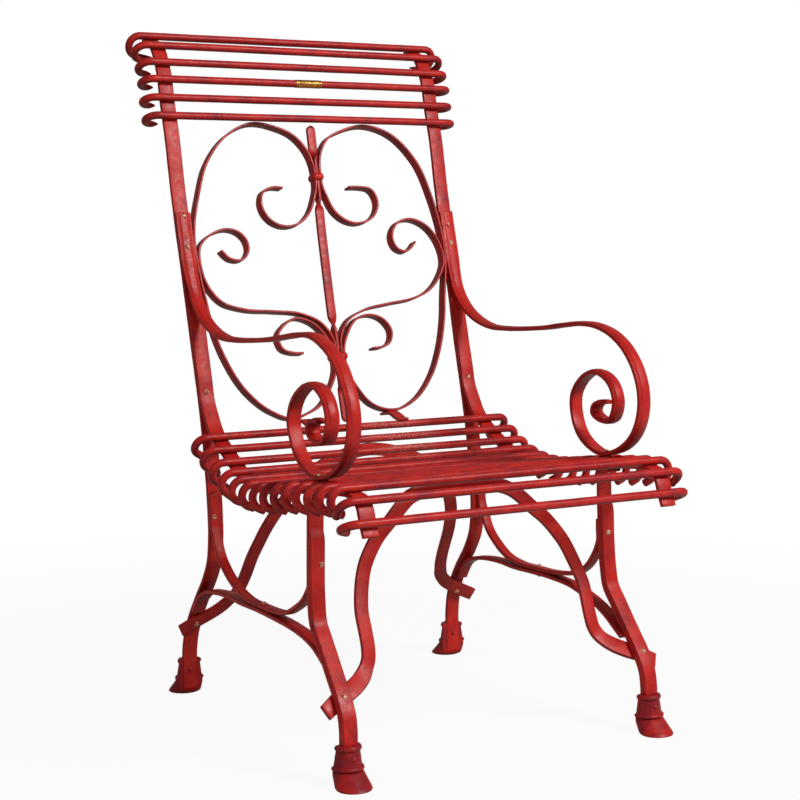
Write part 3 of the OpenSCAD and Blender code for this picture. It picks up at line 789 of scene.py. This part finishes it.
class CHAIR_OT_cross_braces(bpy.types.Operator):
    """Forge the two arches that cross the chair from leg to leg under the seat."""
    bl_idname = "chair.cross_braces"
    bl_label = "Cross braces"

    def execute(self, context):
        cross_brace("cross_brace_front", LEG_LOW, -LAP, [
            (-226, 150), (-221, 166), (-212, 190), (-203, 212), (-194, 233), (-186, 253),
            (-180, 272), (-174, 293), (-168, 318), (-163, 342)], 10, [
            (272, 97), (246, 110.5), (225, 118.5), (208, 127), (195, 137.5), (187, 151),
            (184.5, 168), (184.5, 190), (184.5, 212), (180.5, 232), (174.5, 252), (167, 271),
            (155, 290), (139.5, 309), (119, 327), (100.5, 344), (86, 355), (60, 364), (30, 370.5)],
            leg_x(112), 31)
        cross_brace("cross_brace_rear", UPRIGHT, LAP, [
            (220, 148), (208, 162), (196, 181), (184, 201), (172, 221), (159, 241), (147, 261),
            (136, 281), (126, 302), (117, 330), (111, 362)], 2, [
            (276, 105), (246, 118.5), (229, 127), (213, 136), (201, 146), (192, 158), (186, 172),
            (182, 191), (180, 211), (178, 231), (174, 251), (169, 271), (161, 291), (150, 311),
            (134, 332), (113, 351), (86, 368), (55, 380), (25, 387)], upright_x(119), 37, 5.0)
        return {"FINISHED"}


HOOK_X, HOOK_R = FRAME_W / 2 + 20.4, 16.5


def hooked_rod(node, line, s, turn, tail, seed, fall=(0, 0), drawn=False, slope=0):
    """A round rod laid across a bar at a length along it, with both ends hooked in behind.

    turn and tail are each hook's angle and straight end, fall turns the hooks further down,
    drawn hammers the tails to a point, and slope tilts the rod along the bar."""
    r = stock("rod_d") / 2
    centre, inward, way = line.off(s, ROD_OFF), -line.normal(s), line.way(s)
    rng = random.Random(seed)
    sway_at = rng.uniform(0, 50)
    ends = []
    for side, f in zip((-1, 1), fall):
        wrap = radians(turn) + rng.uniform(-0.05, 0.05)
        cf, sf = cos(radians(f)), sin(radians(f))
        into = Vector((inward.x * cf + inward.y * sf, inward.y * cf - inward.x * sf))
        flat = [(HOOK_X + HOOK_R * sin(wrap * i / 16), HOOK_R * (1 - cos(wrap * i / 16)))
                for i in range(17)]
        x, d = flat[-1]
        flat += [(x + tail * i / 6 * cos(wrap), d + tail * i / 6 * sin(wrap)) for i in range(1, 7)]
        part = []
        for i, (x, d) in enumerate(flat):
            thin = r * (1 - 0.8 * ((i - 12) / 10) ** 1.5) if drawn and i > 12 else r
            part.append((Vector((side * x, centre.x + into.x * d, centre.y + into.y * d)), thin))
        out = (part[-1][0] - part[-2][0]).normalized()
        tip, thin = part[-1]
        part[-1:] = [(tip - out * 0.9, thin), (tip - out * 0.25, thin * 0.93), (tip, thin * 0.74)]
        ends.append(part)
    middle = [(Vector((x, centre.x, centre.y)), r) for x in range(-250, 251, 10)]
    path = list(reversed(ends[0])) + middle + ends[1]
    pts = []
    for p, _ in path:
        bend = 0.35 * noise.noise(Vector((p.x * 0.009 + sway_at, seed, 0)))
        pts.append(p + Vector((0, 0, bend)) + Vector((0, way.x, way.y)) * slope * p.x)
    rings = tube(pts, [q for _, q in path], 18, seed, stock("ripple", 0.8))
    keep_swept(node, "hooked", old_gloss_paint("round_rod"), rings)


class CHAIR_OT_rods(bpy.types.Operator):
    """Draw the hooked rods of the seat, its rolled front and the back."""
    bl_idname = "chair.rods"
    bl_label = "Hooked rods"

    def execute(self, context):
        for i in range(1, 15):
            turn, tail = (145, 20) if i == 1 else (145, 26) if i < 5 else (158, 9)
            hooked_rod(f"seat_rod_{i}", RAIL, seat_s(i), turn, tail, i)
        hooked_rod("front_rod_upper", RAIL, S_UP, 100, 12, 21)
        hooked_rod("front_rod_lower", RAIL, S_LOW, 145, 14, 22)
        for i, (tail, slope) in enumerate(((24, -0.007), (9, -0.007), (9, -0.005), (9, -0.003),
                                           (9, -0.003), (9, -0.003)), 1):
            hooked_rod(f"back_rod_{i}", UPRIGHT, back_s(i), 180, tail, 30 + i,
                       (5, -7) if i > 2 else (0, 0), True, slope)
        return {"FINISHED"}


# ---- scroll panel
# Its lines are drawn in the back's plane: half width, and length up the back
PANEL_TOP = BACK_L - 2.4 - ROD_R - GAP
STRIP_T = 3.8
IN_X = 2.75 + GAP + STRIP_T / 2     # of a strip gripped against the edge-on centre bar
NEST = STRIP_T + GAP
OUT_X = IN_X + NEST                 # of a strip gripped outside another one
COLLAR_UP, COLLAR_LOW = 340.0, 43.0


def edge_x(s):
    """Where a strip lies against the upright's inner edge, at a length up the back."""
    return upright_x(UA.y + s * BACK.y) - 12 - GAP - STRIP_T / 2


# How far the panel's middle leans to the right, by the length up the back
SWAY = Line(flowing([(-70, 0), (60, 0), (110, 0), (203, 1.6), (264, 3.2), (300, 5), (328, 6.2),
                     (352, 6.2), (388, 7.4), (430, 8.6)], 6))


CREST = (101, PANEL_TOP - STRIP_T / 2)


def outer_line(side, curl, loop, fall, low_loop):
    """An outer scroll: through the upper collar, down the upright and into the lower one."""
    pinch = [(IN_X + side * SWAY.read(s) + d, s) for s, d in ((326, 0.2), (340, 0), (354, 0.2))]
    return Line(flowing(
        curl + pinch + loop + [(edge_x(240), 240), (edge_x(200), 200)] + fall
        + [(OUT_X + 0.6, 25), (OUT_X, 38), (OUT_X, 50)] + low_loop, 3.5))


OUTER = {
    -1: outer_line(-1, [
        (60, 321), (79.5, 321.5), (96.5, 313.5), (102, 295.5), (97.5, 278.5), (85, 264.5),
        (66, 257.5), (43, 260.5), (20, 278), (6, 304)], [
        (6.5, 381.5), (28, 408), (59, 422), CREST, (144.5, 408.5), (186.5, 362), (209, 306.5),
        (220.5, 267.5)], [
        (219, 140.5), (212, 91.5), (198, 45), (171, -5), (131, -40.5), (95.5, -53), (71.5, -46.5),
        (45.5, -34), (27, -12)], [
        (19, 75), (42.5, 100), (70, 107), (90.5, 97), (104, 80), (98.5, 58.5), (80.5, 51.5),
        (63, 50.5)]),
    1: outer_line(1, [
        (60, 322.5), (80, 322.5), (101.5, 318), (110, 297), (101.5, 276.5), (84.5, 265),
        (66, 261.5), (46.5, 266.5), (27, 283.5), (16.5, 308)], [
        (16, 377.5), (32, 403), (61, 418), CREST, (149, 415.5), (195, 367), (214.5, 308.5),
        (222, 268)], [
        (213, 141.5), (203.5, 94), (189, 49.5), (163.5, 1.5), (127.5, -34.5), (95, -48),
        (71, -47.5), (44.5, -35.5), (26, -12.5)], [
        (18, 75.5), (41, 103), (70, 108), (91.5, 98), (101.5, 80), (95.5, 62), (79.5, 54.5),
        (63, 53.5)]),
}


def s_line(curl, run):
    """An S scroll: down the outer one along the upright, then into the lower collar."""
    return Line(flowing(
        curl + [(edge_x(226) - NEST - 4, 227), (edge_x(195) - NEST, 194)] + run
        + [(IN_X + 1.2, 68), (IN_X, 50), (IN_X, 37)], 3.5))


S_SCROLL = {
    -1: s_line([
        (182, 219.5), (168.5, 206), (148, 204), (135, 219.5), (137, 236.5), (147.5, 248),
        (165, 253.5), (189.5, 248.5)], [
        (212, 162), (191.5, 136.5), (157.5, 124.5), (104.5, 119.5), (57, 113.5), (25, 98)]),
    1: s_line([
        (171, 229.5), (161.5, 219.5), (149, 213), (134, 219.5), (128, 238), (138.5, 259),
        (165, 268), (194.5, 257.5)], [
        (206, 167.5), (184.5, 147), (155, 134.5), (103.5, 126), (55.5, 116.5), (23.5, 99.5)]),
}


def on_back(x, s, depth, side=1):
    """A point of the leaning panel in metres: across, up along it and towards the front."""
    q = UA + BACK * s + BACK_N * depth
    return Vector((side * x, q.x, q.y)) * MM


def scroll_strip(node, line, side, seed):
    w, t, r = stock("strip_w"), stock("strip_t"), 0.8

    def section(_, inset):
        return rounded_bar(w - 2 * inset, t - 2 * inset, max(r - inset * 0.5, 0.3))

    stops = stations(line.length, line.every(3.5)[1:-1], [(0, 0.9), (0.3, 0.4), (1, 0)])
    rings = rippled(line, lambda q, u: on_back(q.x, q.y, u, side), stops, section, seed, 1000, 0)
    keep_swept(node, "forged", old_gloss_paint("thin_strip"), rings)


class CHAIR_OT_scrolls(bpy.types.Operator):
    """Bend the four flat strips of the scroll panel."""
    bl_idname = "chair.scrolls"
    bl_label = "Scrolls"

    def execute(self, context):
        for s, side in SIDES:
            scroll_strip("outer_scroll_" + side, OUTER[s], s, 41 + s)
            scroll_strip("s_scroll_" + side, S_SCROLL[s], s, 45 + s)
        return {"FINISHED"}


class CHAIR_OT_centre_bar(bpy.types.Operator):
    """Twist the flat bar up the middle of the back edge-on where the collars grip it."""
    bl_idname = "chair.centre_bar"
    bl_label = "Centre bar"

    def execute(self, context):
        low, high, half = -62.5, 427.5, 7.5
        turns = [(low, 0), (-20, 0), (-2, 90), (86, 90), (112, 180), (284, 180), (304, 90),
                 (368, 90), (388, 0), (high, 0)]

        def angle(s):
            return radians(sum((q - p) * ramp(s, a, b)
                               for (a, p), (b, q) in zip(turns, turns[1:])))

        def tip(angles):
            return [half * (1 - cos(radians(a))) for a in angles]

        run = [low + half + 2.5 * i for i in range(int((high - low - 2 * half) / 2.5) + 1)]
        rings = []
        for s in ([low + d for d in tip(range(8, 90, 9))] + run
                  + [high - d for d in tip(range(81, 0, -9))]):
            d = min(s - low, high - s, half)
            w = 2 * sqrt(max(half * half - (half - d) ** 2, 0.4))
            ca, sa = cos(angle(s)), sin(angle(s))
            rings.append([on_back(SWAY.read(s) + u * ca - v * sa, s, u * sa + v * ca)
                          for u, v in rounded_bar(w, 5.5, min(1.0, w * 0.3))])
        keep_swept("centre_bar", "twisted", old_gloss_paint("thin_strip"), rings)
        return {"FINISHED"}


def collar_band(node, half, s):
    """A hot-wrapped collar: one half-round band, 12 mm high, round the stacked strips."""
    hx, hy, r, bulge, up = half + GAP, 9 + GAP, 2.2, 3.1, 6
    outline = [(i * (hx - r), j * (hy - r), radians(a0 + a)) for i, j, a0 in
               ((1, 1, 0), (-1, 1, 90), (-1, -1, 180), (1, -1, 270)) for a in range(0, 91, 15)]
    radius = (up * up + bulge * bulge) / (2 * bulge)
    profile = [(0, -up)] + [
        (max(0.15, bulge - radius + sqrt(radius * radius - h * h)), h)
        for h in (-5.9, -5.2, -4, -2.6, -1.2, 0, 1.2, 2.6, 4, 5.2, 5.9)] + [(0, up)]
    bm = bmesh.new()
    vs = [[bm.verts.new(on_back(SWAY.read(s) + cx + (r + o) * cos(a), s + h,
                                cy + (r + o) * sin(a))) for o, h in profile]
          for cx, cy, a in outline]
    n, m = len(vs), len(profile)
    for i in range(n):
        for j in range(m):
            bm.faces.new((vs[i][j], vs[(i + 1) % n][j], vs[(i + 1) % n][(j + 1) % m],
                          vs[i][(j + 1) % m]))
    keep(node, "wrapped", bm, old_gloss_paint())


BRACKET_X = {-1: 84, 1: 77}


class CHAIR_OT_collars(bpy.types.Operator):
    """Wrap the two collars, and bend the straps and the label band."""
    bl_idname = "chair.collars"
    bl_label = "Collars, straps and band"

    def execute(self, context):
        collar_band("collar_upper", IN_X + STRIP_T / 2, COLLAR_UP)
        collar_band("collar_lower", OUT_X + STRIP_T / 2, COLLAR_LOW)
        rod = RAIL.off(seat_s(1), ROD_OFF)
        over = ROD_R + GAP + 2.1
        for s, side in SIDES:
            foot = UA + BACK * (min(q.y for q in OUTER[s].p) - STRIP_T / 2 - GAP - 2)
            strap = Line(flowing([foot - BACK_N * 9.5, foot, foot + BACK_N * 9,
                                  rod + Vector((17, 12.5)), rod + Vector((4, over)),
                                  rod + Vector((-6, over))], 3))
            place = plain_place(BRACKET_X[s], s)
            flat_bar("scroll_bracket_" + side, strap, place, 20, 4, 51 + s, 3)
        c, r = UPRIGHT.off(back_s(4), ROD_OFF), 6.6
        raised = r + 0.12
        xs = [(-17, 6.1), (-16.6, r), (-13, r), (-12.6, raised), (-11.4, raised), (-11, r),
              (23, r), (23.4, raised), (24.6, raised), (25, r), (28.6, r), (29, 6.1)]
        rings = tube([(x, c.x, c.y) for x, _ in xs], [q for _, q in xs], 28)
        keep_swept("label_band", "brass", dull_brass(), rings)
        return {"FINISHED"}


# ---- feet and rivets
HOOF_H = 22             # height of the hoof, up to the groove under the sleeve's ring
TOE = 21.0              # how far the sole is set forward of the sleeve
HEEL, CUT = 13.5, 2.4   # reach behind the leg's middle of the sole and of the cut sleeve
# Heights and radii of a foot, from the sole up
HOOF = [(0, 24), (0.8, 25), (2.2, 25.4), (4.2, 25.2), (5.9, 24.8), (6.1, 24.7), (9, 24),
        (13, 23.2), (17, 22.4), (20, 21.8), (21.5, 21.3), (22, 20.6), (22.5, 21.7), (23.5, 22.8),
        (25, 23.2), (26.7, 22.8), (27.9, 21.7), (28.5, 20.2), (31, 19.6), (36, 18.9), (41, 18.2),
        (45, 17.5), (48.4, 17), (49, 17.5), (49.8, 18.5), (51.4, 19.1), (53.4, 19), (54.9, 18.1),
        (55.7, 16.8), (FOOT_H, 15.2)]


class CHAIR_OT_feet(bpy.types.Operator):
    """Cast the four hoof feet with their half sleeves."""
    bl_idname = "chair.feet"
    bl_label = "Hoof feet"

    def execute(self, context):
        for end, y, toe, tilt, x0 in (("front", FRONT_Y, -1, SPLAY, leg_x(0)),
                                      ("rear", REAR_Y, 1, LEAN, upright_x(0))):
            for s, side in SIDES:
                rings = []
                for h, r in HOOF:
                    back = max(0.0, (HOOF_H - h) / HOOF_H)
                    limit = HEEL if h < SOLE else CUT
                    ring = []
                    for ca, sa in circle(56):
                        px, py = r * ca, r * (1 - 0.08 * back) * sa - TOE * back
                        ring.append(Vector((s * (x0 - h * tan(tilt) + px) * MM,
                                            (y - Y_MID - toe * min(py, limit)) * MM, h * MM)))
                    rings.append(ring)
                bm = bmesh.new()
                sweep(bm, rings)
                bmesh.ops.dissolve_degenerate(bm, dist=1e-7, edges=bm.edges)
                keep(f"foot_{end}_{side}", "cast", bm, old_gloss_paint("cast_foot"))
        return {"FINISHED"}


HEAD_R, HEAD_H, ARCH_HEAD_H = 4.3, 2.4, 4.2


def rivet_head(x, p, n, seed, side, h):
    """Rings of a hand-hammered dome: x across, p and n its face's point and direction."""
    rng = random.Random(seed)
    u, v, axis = Vector((1, 0, 0)), Vector((0, n.y, -n.x)), Vector((0, n.x, n.y))
    c = Vector((side * x, p.x, p.y))
    dents = [rng.uniform(0.94, 1.05) for _ in range(20)]
    radius = (HEAD_R * HEAD_R + h * h) / (2 * h)
    rings = []
    for k in range(7):
        q = asin(HEAD_R / radius) * (1 - k / 6.5)
        ring = []
        for (ca, sa), dent in zip(circle(20), dents):
            rr = radius * sin(q) * (dent if k < 3 else 1)
            ring.append((c + u * rr * ca + v * rr * sa
                         + axis * (radius * cos(q) - radius + h)) * MM)
        rings.append(ring)
    return rings


class CHAIR_OT_rivets(bpy.types.Operator):
    """Hammer the rivet heads on both faces of each joint."""
    bl_idname = "chair.rivets"
    bl_label = "Rivets"

    def execute(self, context):
        half = BAR_T / 2
        lap = LAP + half

        def joint(line, s, x, ahead, behind, which=(-1, 1)):
            return line.at(s), line.normal(s), x, ahead, behind, which

        def on_upright(z, x, which=(-1, 1)):
            return joint(UPRIGHT, UPRIGHT.where(1, z), x, lap, half, which)

        def on_leg(z, x, which=(-1, 1)):
            return joint(LEG_LOW, LEG_LOW.where(1, z), x, half + LEG_RISE, lap, which)

        through_rod = 3 * half + 0.9 + 2 * ROD_R
        groups = {
            "arm_rivets": [on_upright(749, ARM_X, [-1]), on_upright(732, ARM_X, [1]),
                           on_upright(702, ARM_X)],
            "seat_rivets": [on_upright(482, REAR_X),
                            joint(RAIL, S_11, RAIL_X, through_rod, lap + 0.2)],
            "brace_rivets": [on_upright(296, BRACE_X), on_leg(281, BRACE_X - 2, [-1]),
                             on_leg(281, BRACE_X + 3, [1])]
            + [joint(ARCH[s], ARCH_S[s], BRACE_X, half, lap, [s]) for s in (-1, 1)],
            "cross_brace_rivets": [on_leg(112, leg_x(112)), on_upright(119, upright_x(119))],
            "foot_rivets": [
                (Vector((y - Y_MID, 39)), Vector((toe, 0)), x, 18.0, half, (-1, 1))
                for y, toe, x in ((FRONT_Y, -1, leg_x(39)), (REAR_Y, 1, upright_x(39)))],
        }
        for g, (name, joints) in enumerate(groups.items()):
            heads = []
            for k, (p, n, x, ahead, behind, which) in enumerate(joints):
                h = ARCH_HEAD_H if name == "brace_rivets" and abs(n.y) > 0.9 else HEAD_H
                for s in which:
                    heads += [rivet_head(x, p + n * (ahead - 0.1), n, g * 10 + k, s, h),
                              rivet_head(x, p - n * (behind - 0.1), -n, g * 10 + k + 5, s, h)]
            mat = old_gloss_paint("rivet_head") if name == "foot_rivets" else rubbed_iron()
            keep_swept(name, "hammered", mat, *heads)
        return {"FINISHED"}


# ---- stage
CAMERA_TURN, CAMERA_TILT, CAMERA_ROLL = -0.52547, 0.10620, -0.00260
CAMERA_SPOT = (-1.3794, -2.3669 - Y_MID * MM, 0.7683)
LAMP_AIM = Vector((0, 0, 0.5))


def white_where(tree, seen, lit, white, output):
    """Shows white by the amount that is seen, and the shader that lights the chair elsewhere."""
    mix = add(tree, "ShaderNodeMixShader", [(0, seen.outputs[0]), (1, lit.outputs[0]),
                                            (2, white.outputs[0])])
    add(tree, output, [("Surface", mix.outputs[0])])


class CHAIR_OT_stage(bpy.types.Operator):
    """Lay the pale floor, hang the soft lamps and set the camera."""
    bl_idname = "chair.stage"
    bl_label = "Studio"

    def execute(self, context):
        light = context.scene.studio_light
        scene = context.scene
        scene.view_settings.view_transform = "Standard"
        me = bpy.data.meshes.new("studio_floor")
        me.from_pydata([(-12, -12, 0), (12, -12, 0), (12, 12, 0), (-12, 12, 0)], [], [range(4)])
        floor = new_object("studio_floor", me)

        def paper(t, colours):
            """Paper that the camera sees as nearly white, and whiter away from the chair."""
            place = add(t, "ShaderNodeNewGeometry").outputs["Position"]
            away = add(t, "ShaderNodeVectorMath", [(0, place)], operation="LENGTH")
            share = mask(t, away.outputs["Value"], 0.7, 1.8, To_Min=0.93, To_Max=1.0)
            seen = add(t, "ShaderNodeLightPath").outputs["Is Camera Ray"]
            level = add(t, "ShaderNodeMath", [(0, seen), (1, share)], operation="MULTIPLY")
            white_where(t, level, add(t, "ShaderNodeBsdfDiffuse", Color=linear("#E4E2DE")),
                        add(t, "ShaderNodeEmission", Strength=1.0), "ShaderNodeOutputMaterial")

        me.materials.append(material("pale_studio_paper", paper))
        floor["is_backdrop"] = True

        world = bpy.data.worlds.new("white_studio")
        scene.world = world
        world.use_nodes = True
        w = world.node_tree
        w.nodes.clear()
        path = add(w, "ShaderNodeLightPath")
        seen = add(w, "ShaderNodeMath", [(0, path.outputs["Is Camera Ray"]),
                                         (1, path.outputs["Is Transmission Ray"])],
                   operation="MAXIMUM")
        even, white = [add(w, "ShaderNodeBackground", Color=(1, 1, 1, 1), Strength=strength)
                       for strength in (light.sky, 1.0)]
        white_where(w, seen, even, white, "ShaderNodeOutputWorld")

        def lamp(name, power, size, spot):
            data = bpy.data.lights.new(name, "AREA")
            data.energy, data.size = power, size
            ob = new_object(name, data)
            ob.location = spot
            ob.rotation_euler = (LAMP_AIM - Vector(spot)).to_track_quat("-Z", "Y").to_euler()

        lamp("key_softbox", light.key, 1.0, (1.5, -3.0, 3.0))
        lamp("fill_softbox", light.fill, 2.2, (-2.8, -2.2, 2.2))

        data = bpy.data.cameras.new("photo_camera")
        data.lens, data.sensor_width, data.clip_end = light.lens, 36.0, 60.0
        cam = new_object("photo_camera", data)
        a, e = CAMERA_TURN, CAMERA_TILT
        back = Vector((sin(a) * cos(e), -cos(a) * cos(e), sin(e)))
        right = Vector((cos(a), sin(a), 0))
        up = back.cross(right)
        cr, sr = cos(CAMERA_ROLL), sin(CAMERA_ROLL)
        turned = Matrix((right * cr + up * sr, up * cr - right * sr, back)).transposed().to_4x4()
        cam.matrix_world = Matrix.Translation(CAMERA_SPOT) @ turned
        scene.camera = cam
        return {"FINISHED"}


# ---- add-on
GROUPS = {"chair_sizes": ChairSizes, "paint_colours": PaintColours, "studio_light": StudioLight}
OPERATORS = (CHAIR_OT_side_frames, CHAIR_OT_side_braces, CHAIR_OT_cross_braces, CHAIR_OT_rods,
             CHAIR_OT_scrolls, CHAIR_OT_centre_bar, CHAIR_OT_collars, CHAIR_OT_feet,
             CHAIR_OT_rivets, CHAIR_OT_stage)


class CHAIR_PT_panel(bpy.types.Panel):
    """Sidebar panel with the chair's sizes, colours and pieces."""
    bl_idname = "CHAIR_PT_panel"
    bl_label = "Garden Chair"
    bl_space_type = "VIEW_3D"
    bl_region_type = "UI"
    bl_category = "Garden Chair"

    def draw(self, context):
        for name in GROUPS:
            box, group = self.layout.box(), getattr(context.scene, name)
            for key in group.__annotations__:
                box.prop(group, key)
        for op in OPERATORS:
            self.layout.operator(op.bl_idname)


CLASSES = (*GROUPS.values(), *OPERATORS, CHAIR_PT_panel)


def register():
    for cls in CLASSES:
        bpy.utils.register_class(cls)
    for name, group in GROUPS.items():
        setattr(bpy.types.Scene, name, bpy.props.PointerProperty(type=group))


def unregister():
    for name in GROUPS:
        delattr(bpy.types.Scene, name)
    for cls in reversed(CLASSES):
        bpy.utils.unregister_class(cls)


def main():
    register()
    for op in OPERATORS:
        group, name = op.bl_idname.split(".")
        getattr(getattr(bpy.ops, group), name)()
    plain = lambda box: [[float(v) for v in corner] for corner in box]
    {"cad": plain(BOX_AT_LOAD), "visual": plain(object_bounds())}


if __name__ == "__main__":
    main()
